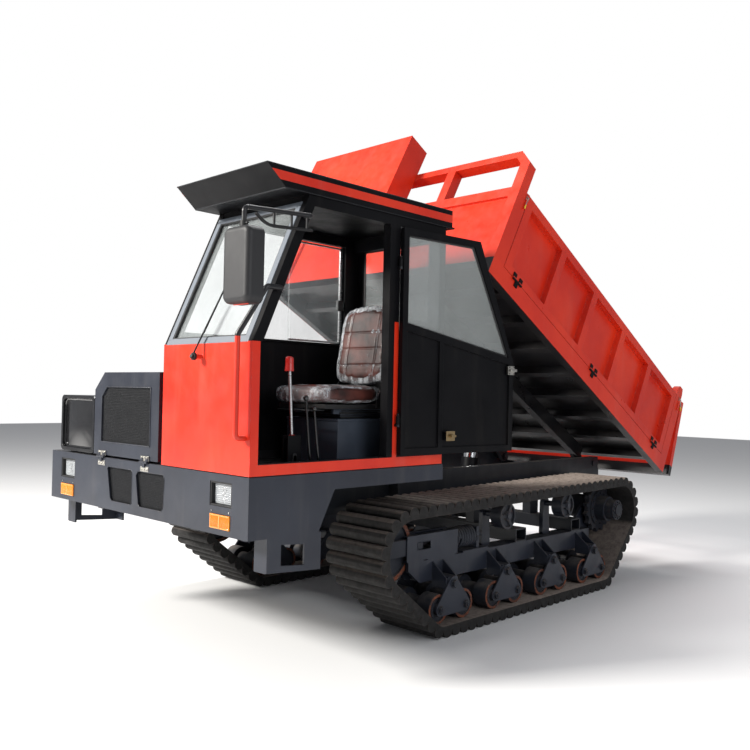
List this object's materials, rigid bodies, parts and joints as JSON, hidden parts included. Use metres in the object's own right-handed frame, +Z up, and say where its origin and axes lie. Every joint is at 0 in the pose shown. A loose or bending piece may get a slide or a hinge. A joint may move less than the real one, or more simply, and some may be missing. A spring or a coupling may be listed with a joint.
{
  "type": "tracked dumper",
  "caption": "Tracked tipping dumper with a cab beside the engine hood, rubber crawler tracks on rollers, and a load body with drop sides raised on a telescopic hoist.",
  "frame": {"origin": "on the ground, in the middle of the machine's length and width with the body raised", "axes": "+Y towards the rear, +X to the machine's left, the cab's side, +Z up"},
  "size_m": [2.575, 5.4433, 3.7734],
  "materials": {
    "red_paint": "gloss red-orange paint with road dust",
    "black_paint": "satin black paint",
    "slate_paint": "satin slate-grey paint",
    "roof_paint": "satin black paint",
    "roller_paint": "slate paint, worn to rust at the rims",
    "spring_paint": "slate paint",
    "engine_cast": "cast",
    "sprocket_cast": "as cast, painted slate",
    "chrome_rod": "hard chrome",
    "track_rubber": "dusty black rubber",
    "window_glass": "clear",
    "headlamp": "white dotted lens",
    "amber_lens": "amber ribbed lens",
    "intake_plastic": "gloss black",
    "mirror_plastic": "grained grey",
    "seat_vinyl": "reddish-brown vinyl",
    "rail_paint": "red paint below, black above",
    "wiper_steel": "silver",
    "seat_box": "blue-grey",
    "lever_knob": "red knob on a steel rod"
  },
  "bodies": {
    "chassis": {"chassis_frame": "slate_paint", "front_bumper": "slate_paint", "headlamps": "headlamp", "turn_lamps": "amber_lens", "engine_hood": "slate_paint", "engine": "engine_cast", "air_intake_box": "intake_plastic", "cab_body": "red_paint", "cab_frame": "black_paint", "cab_roof": "roof_paint", "cab_glass": "window_glass", "seat_base": "seat_box", "grab_rail": "rail_paint", "track_belt_left": "track_rubber", "track_frame_left": "slate_paint", "recoil_spring_left": "spring_paint", "track_belt_right": "track_rubber", "track_frame_right": "slate_paint", "recoil_spring_right": "spring_paint"},
    "cab_door": {"cab_door": "black_paint", "door_glass": "window_glass"},
    "dump_body": {"dump_body": "red_paint"},
    "gate_left": {"gate_left": "red_paint"},
    "gate_right": {"gate_right": "red_paint"},
    "tailgate": {"tailgate": "red_paint"},
    "hoist_barrel": {"hoist_barrel": "black_paint"},
    "hoist_stage_1": {"hoist_stage_1": "chrome_rod"},
    "hoist_stage_2": {"hoist_stage_2": "chrome_rod"},
    "grille_door": {"grille_door": "slate_paint"},
    "sliding_window": {"sliding_window": "window_glass"},
    "seat": {"seat": "seat_vinyl"},
    "control_lever": {"control_lever": "lever_knob"},
    "wiper": {"wiper": "wiper_steel"},
    "mirror_head": {"mirror_head": "mirror_plastic"},
    "idler_yoke_left": {"idler_yoke_left": "roller_paint"},
    "idler_wheel_left": {"idler_wheel_left": "roller_paint"},
    "drive_sprocket_left": {"drive_sprocket_left": "sprocket_cast"},
    "carrier_roller_front_left": {"carrier_roller_front_left": "roller_paint"},
    "carrier_roller_rear_left": {"carrier_roller_rear_left": "roller_paint"},
    "track_roller_1_left": {"track_roller_1_left": "roller_paint"},
    "track_roller_2_left": {"track_roller_2_left": "roller_paint"},
    "track_roller_3_left": {"track_roller_3_left": "roller_paint"},
    "track_roller_4_left": {"track_roller_4_left": "roller_paint"},
    "track_roller_5_left": {"track_roller_5_left": "roller_paint"},
    "track_roller_6_left": {"track_roller_6_left": "roller_paint"},
    "track_roller_7_left": {"track_roller_7_left": "roller_paint"},
    "track_roller_8_left": {"track_roller_8_left": "roller_paint"},
    "idler_yoke_right": {"idler_yoke_right": "roller_paint"},
    "idler_wheel_right": {"idler_wheel_right": "roller_paint"},
    "drive_sprocket_right": {"drive_sprocket_right": "sprocket_cast"},
    "carrier_roller_front_right": {"carrier_roller_front_right": "roller_paint"},
    "carrier_roller_rear_right": {"carrier_roller_rear_right": "roller_paint"},
    "track_roller_1_right": {"track_roller_1_right": "roller_paint"},
    "track_roller_2_right": {"track_roller_2_right": "roller_paint"},
    "track_roller_3_right": {"track_roller_3_right": "roller_paint"},
    "track_roller_4_right": {"track_roller_4_right": "roller_paint"},
    "track_roller_5_right": {"track_roller_5_right": "roller_paint"},
    "track_roller_6_right": {"track_roller_6_right": "roller_paint"},
    "track_roller_7_right": {"track_roller_7_right": "roller_paint"},
    "track_roller_8_right": {"track_roller_8_right": "roller_paint"}
  },
  "joints": [
    {"name": "body_tip", "type": "hinge", "parent": "chassis", "child": "dump_body", "pos_m": [-0.0825, 2.0584, 0.972], "axis": [-1, 0, 0], "range_deg": [-29.15, 8.85]},
    {"name": "hoist_lean", "type": "hinge", "parent": "chassis", "child": "hoist_barrel", "pos_m": [-0.0825, 0.83449, 0.53378], "axis": [-1, 0, 0], "range_deg": [-14.6, 4.5]},
    {"name": "hoist_stage_1_slide", "type": "slide", "parent": "hoist_barrel", "child": "hoist_stage_1", "axis": [0, 0.137, 0.9906], "range_m": [-0.3095, 0.094]},
    {"name": "hoist_stage_2_slide", "type": "slide", "parent": "hoist_stage_1", "child": "hoist_stage_2", "axis": [0, 0.137, 0.9906], "range_m": [-0.3095, 0.094]},
    {"name": "gate_left_hinge", "type": "hinge", "parent": "dump_body", "child": "gate_left", "pos_m": [1.1155, 0.95301, 1.81293], "axis": [0, 0.8733, -0.4871], "range_deg": [0, 90]},
    {"name": "gate_right_hinge", "type": "hinge", "parent": "dump_body", "child": "gate_right", "pos_m": [-1.2805, 0.95301, 1.81293], "axis": [0, -0.8733, 0.4871], "range_deg": [0, 90]},
    {"name": "tailgate_hinge", "type": "hinge", "parent": "dump_body", "child": "tailgate", "pos_m": [-0.0825, 2.67583, 1.67874], "axis": [1, 0, 0], "range_deg": [-8, 55]},
    {"name": "cab_door_hinge", "type": "hinge", "parent": "chassis", "child": "cab_door", "pos_m": [1.0985, -1.3946, 1.9], "axis": [0, 0, 1], "range_deg": [-174.7, 0]},
    {"name": "grille_door_hinge", "type": "hinge", "parent": "chassis", "child": "grille_door", "pos_m": [-0.2425, -2.5246, 1.15], "axis": [1, 0, 0], "range_deg": [0, 95]},
    {"name": "sliding_window_slide", "type": "slide", "parent": "chassis", "child": "sliding_window", "axis": [0, -1, 0], "range_m": [0, 0.45]},
    {"name": "seat_slide", "type": "slide", "parent": "chassis", "child": "seat", "axis": [0, 1, 0], "range_m": [-0.06, 0.06]},
    {"name": "control_lever_hinge", "type": "hinge", "parent": "chassis", "child": "control_lever", "pos_m": [0.8675, -2.0536, 1.33], "axis": [1, 0, 0], "range_deg": [-18, 18], "stiffness_Nm_per_rad": 40},
    {"name": "wiper_sweep", "type": "hinge", "parent": "chassis", "child": "wiper", "pos_m": [0.6075, -2.5766, 1.79], "axis": [0, -0.9143, 0.405], "range_deg": [-14, 60]},
    {"name": "mirror_swivel", "type": "hinge", "parent": "chassis", "child": "mirror_head", "pos_m": [1.1795, -2.6666, 2.235], "axis": [0, 0, 1], "range_deg": [-25, 25]},
    {"name": "idler_tension_left", "type": "slide", "parent": "chassis", "child": "idler_yoke_left", "axis": [0, 1, 0], "range_m": [0, 0.04], "stiffness_N_per_m": 100000, "springref_m": -0.04, "deforming": ["recoil_spring_left"]},
    {"name": "drive_sprocket_left_spin", "type": "hinge", "parent": "chassis", "child": "drive_sprocket_left", "pos_m": [0.859, 1.5154, 0.632], "axis": [1, 0, 0], "continuous": true},
    {"name": "idler_wheel_left_spin", "type": "hinge", "parent": "idler_yoke_left", "child": "idler_wheel_left", "pos_m": [0.859, -1.2266, 0.587], "axis": [1, 0, 0], "continuous": true},
    {"name": "carrier_roller_front_left_spin", "type": "hinge", "parent": "chassis", "child": "carrier_roller_front_left", "pos_m": [0.859, -0.1186, 0.72614], "axis": [1, 0, 0], "continuous": true},
    {"name": "carrier_roller_rear_left_spin", "type": "hinge", "parent": "chassis", "child": "carrier_roller_rear_left", "pos_m": [0.859, 0.7044, 0.73665], "axis": [1, 0, 0], "continuous": true},
    {"name": "track_roller_1_left_spin", "type": "hinge", "parent": "chassis", "child": "track_roller_1_left", "pos_m": [0.859, -0.9006, 0.178], "axis": [1, 0, 0], "continuous": true},
    {"name": "track_roller_2_left_spin", "type": "hinge", "parent": "chassis", "child": "track_roller_2_left", "pos_m": [0.859, -0.6306, 0.178], "axis": [1, 0, 0], "continuous": true},
    {"name": "track_roller_3_left_spin", "type": "hinge", "parent": "chassis", "child": "track_roller_3_left", "pos_m": [0.859, -0.2786, 0.178], "axis": [1, 0, 0], "continuous": true},
    {"name": "track_roller_4_left_spin", "type": "hinge", "parent": "chassis", "child": "track_roller_4_left", "pos_m": [0.859, -0.0086, 0.178], "axis": [1, 0, 0], "continuous": true},
    {"name": "track_roller_5_left_spin", "type": "hinge", "parent": "chassis", "child": "track_roller_5_left", "pos_m": [0.859, 0.3434, 0.178], "axis": [1, 0, 0], "continuous": true},
    {"name": "track_roller_6_left_spin", "type": "hinge", "parent": "chassis", "child": "track_roller_6_left", "pos_m": [0.859, 0.6134, 0.178], "axis": [1, 0, 0], "continuous": true},
    {"name": "track_roller_7_left_spin", "type": "hinge", "parent": "chassis", "child": "track_roller_7_left", "pos_m": [0.859, 0.9654, 0.178], "axis": [1, 0, 0], "continuous": true},
    {"name": "track_roller_8_left_spin", "type": "hinge", "parent": "chassis", "child": "track_roller_8_left", "pos_m": [0.859, 1.2354, 0.178], "axis": [1, 0, 0], "continuous": true},
    {"name": "idler_tension_right", "type": "slide", "parent": "chassis", "child": "idler_yoke_right", "axis": [0, 1, 0], "range_m": [0, 0.04], "stiffness_N_per_m": 100000, "springref_m": -0.04, "deforming": ["recoil_spring_right"]},
    {"name": "drive_sprocket_right_spin", "type": "hinge", "parent": "chassis", "child": "drive_sprocket_right", "pos_m": [-1.024, 1.5154, 0.632], "axis": [1, 0, 0], "continuous": true},
    {"name": "idler_wheel_right_spin", "type": "hinge", "parent": "idler_yoke_right", "child": "idler_wheel_right", "pos_m": [-1.024, -1.2266, 0.587], "axis": [1, 0, 0], "continuous": true},
    {"name": "carrier_roller_front_right_spin", "type": "hinge", "parent": "chassis", "child": "carrier_roller_front_right", "pos_m": [-1.024, -0.1186, 0.72614], "axis": [1, 0, 0], "continuous": true},
    {"name": "carrier_roller_rear_right_spin", "type": "hinge", "parent": "chassis", "child": "carrier_roller_rear_right", "pos_m": [-1.024, 0.7044, 0.73665], "axis": [1, 0, 0], "continuous": true},
    {"name": "track_roller_1_right_spin", "type": "hinge", "parent": "chassis", "child": "track_roller_1_right", "pos_m": [-1.024, -0.9006, 0.178], "axis": [1, 0, 0], "continuous": true},
    {"name": "track_roller_2_right_spin", "type": "hinge", "parent": "chassis", "child": "track_roller_2_right", "pos_m": [-1.024, -0.6306, 0.178], "axis": [1, 0, 0], "continuous": true},
    {"name": "track_roller_3_right_spin", "type": "hinge", "parent": "chassis", "child": "track_roller_3_right", "pos_m": [-1.024, -0.2786, 0.178], "axis": [1, 0, 0], "continuous": true},
    {"name": "track_roller_4_right_spin", "type": "hinge", "parent": "chassis", "child": "track_roller_4_right", "pos_m": [-1.024, -0.0086, 0.178], "axis": [1, 0, 0], "continuous": true},
    {"name": "track_roller_5_right_spin", "type": "hinge", "parent": "chassis", "child": "track_roller_5_right", "pos_m": [-1.024, 0.3434, 0.178], "axis": [1, 0, 0], "continuous": true},
    {"name": "track_roller_6_right_spin", "type": "hinge", "parent": "chassis", "child": "track_roller_6_right", "pos_m": [-1.024, 0.6134, 0.178], "axis": [1, 0, 0], "continuous": true},
    {"name": "track_roller_7_right_spin", "type": "hinge", "parent": "chassis", "child": "track_roller_7_right", "pos_m": [-1.024, 0.9654, 0.178], "axis": [1, 0, 0], "continuous": true},
    {"name": "track_roller_8_right_spin", "type": "hinge", "parent": "chassis", "child": "track_roller_8_right", "pos_m": [-1.024, 1.2354, 0.178], "axis": [1, 0, 0], "continuous": true}
  ],
  "couplings": [
    {"joint": "hoist_lean", "follows": "body_tip", "ratio": 0.5},
    {"joint": "hoist_stage_1_slide", "follows": "body_tip", "m_per_rad": 0.60804},
    {"joint": "hoist_stage_2_slide", "follows": "body_tip", "m_per_rad": 0.60804},
    {"joint": "idler_wheel_left_spin", "follows": "drive_sprocket_left_spin", "ratio": 0.95475},
    {"joint": "carrier_roller_front_left_spin", "follows": "drive_sprocket_left_spin", "ratio": 2.221},
    {"joint": "carrier_roller_rear_left_spin", "follows": "drive_sprocket_left_spin", "ratio": 2.221},
    {"joint": "track_roller_1_left_spin", "follows": "drive_sprocket_left_spin", "ratio": 2.1206},
    {"joint": "track_roller_2_left_spin", "follows": "drive_sprocket_left_spin", "ratio": 2.1206},
    {"joint": "track_roller_3_left_spin", "follows": "drive_sprocket_left_spin", "ratio": 2.1206},
    {"joint": "track_roller_4_left_spin", "follows": "drive_sprocket_left_spin", "ratio": 2.1206},
    {"joint": "track_roller_5_left_spin", "follows": "drive_sprocket_left_spin", "ratio": 2.1206},
    {"joint": "track_roller_6_left_spin", "follows": "drive_sprocket_left_spin", "ratio": 2.1206},
    {"joint": "track_roller_7_left_spin", "follows": "drive_sprocket_left_spin", "ratio": 2.1206},
    {"joint": "track_roller_8_left_spin", "follows": "drive_sprocket_left_spin", "ratio": 2.1206},
    {"joint": "idler_wheel_right_spin", "follows": "drive_sprocket_right_spin", "ratio": 0.95475},
    {"joint": "carrier_roller_front_right_spin", "follows": "drive_sprocket_right_spin", "ratio": 2.221},
    {"joint": "carrier_roller_rear_right_spin", "follows": "drive_sprocket_right_spin", "ratio": 2.221},
    {"joint": "track_roller_1_right_spin", "follows": "drive_sprocket_right_spin", "ratio": 2.1206},
    {"joint": "track_roller_2_right_spin", "follows": "drive_sprocket_right_spin", "ratio": 2.1206},
    {"joint": "track_roller_3_right_spin", "follows": "drive_sprocket_right_spin", "ratio": 2.1206},
    {"joint": "track_roller_4_right_spin", "follows": "drive_sprocket_right_spin", "ratio": 2.1206},
    {"joint": "track_roller_5_right_spin", "follows": "drive_sprocket_right_spin", "ratio": 2.1206},
    {"joint": "track_roller_6_right_spin", "follows": "drive_sprocket_right_spin", "ratio": 2.1206},
    {"joint": "track_roller_7_right_spin", "follows": "drive_sprocket_right_spin", "ratio": 2.1206},
    {"joint": "track_roller_8_right_spin", "follows": "drive_sprocket_right_spin", "ratio": 2.1206}
  ]
}
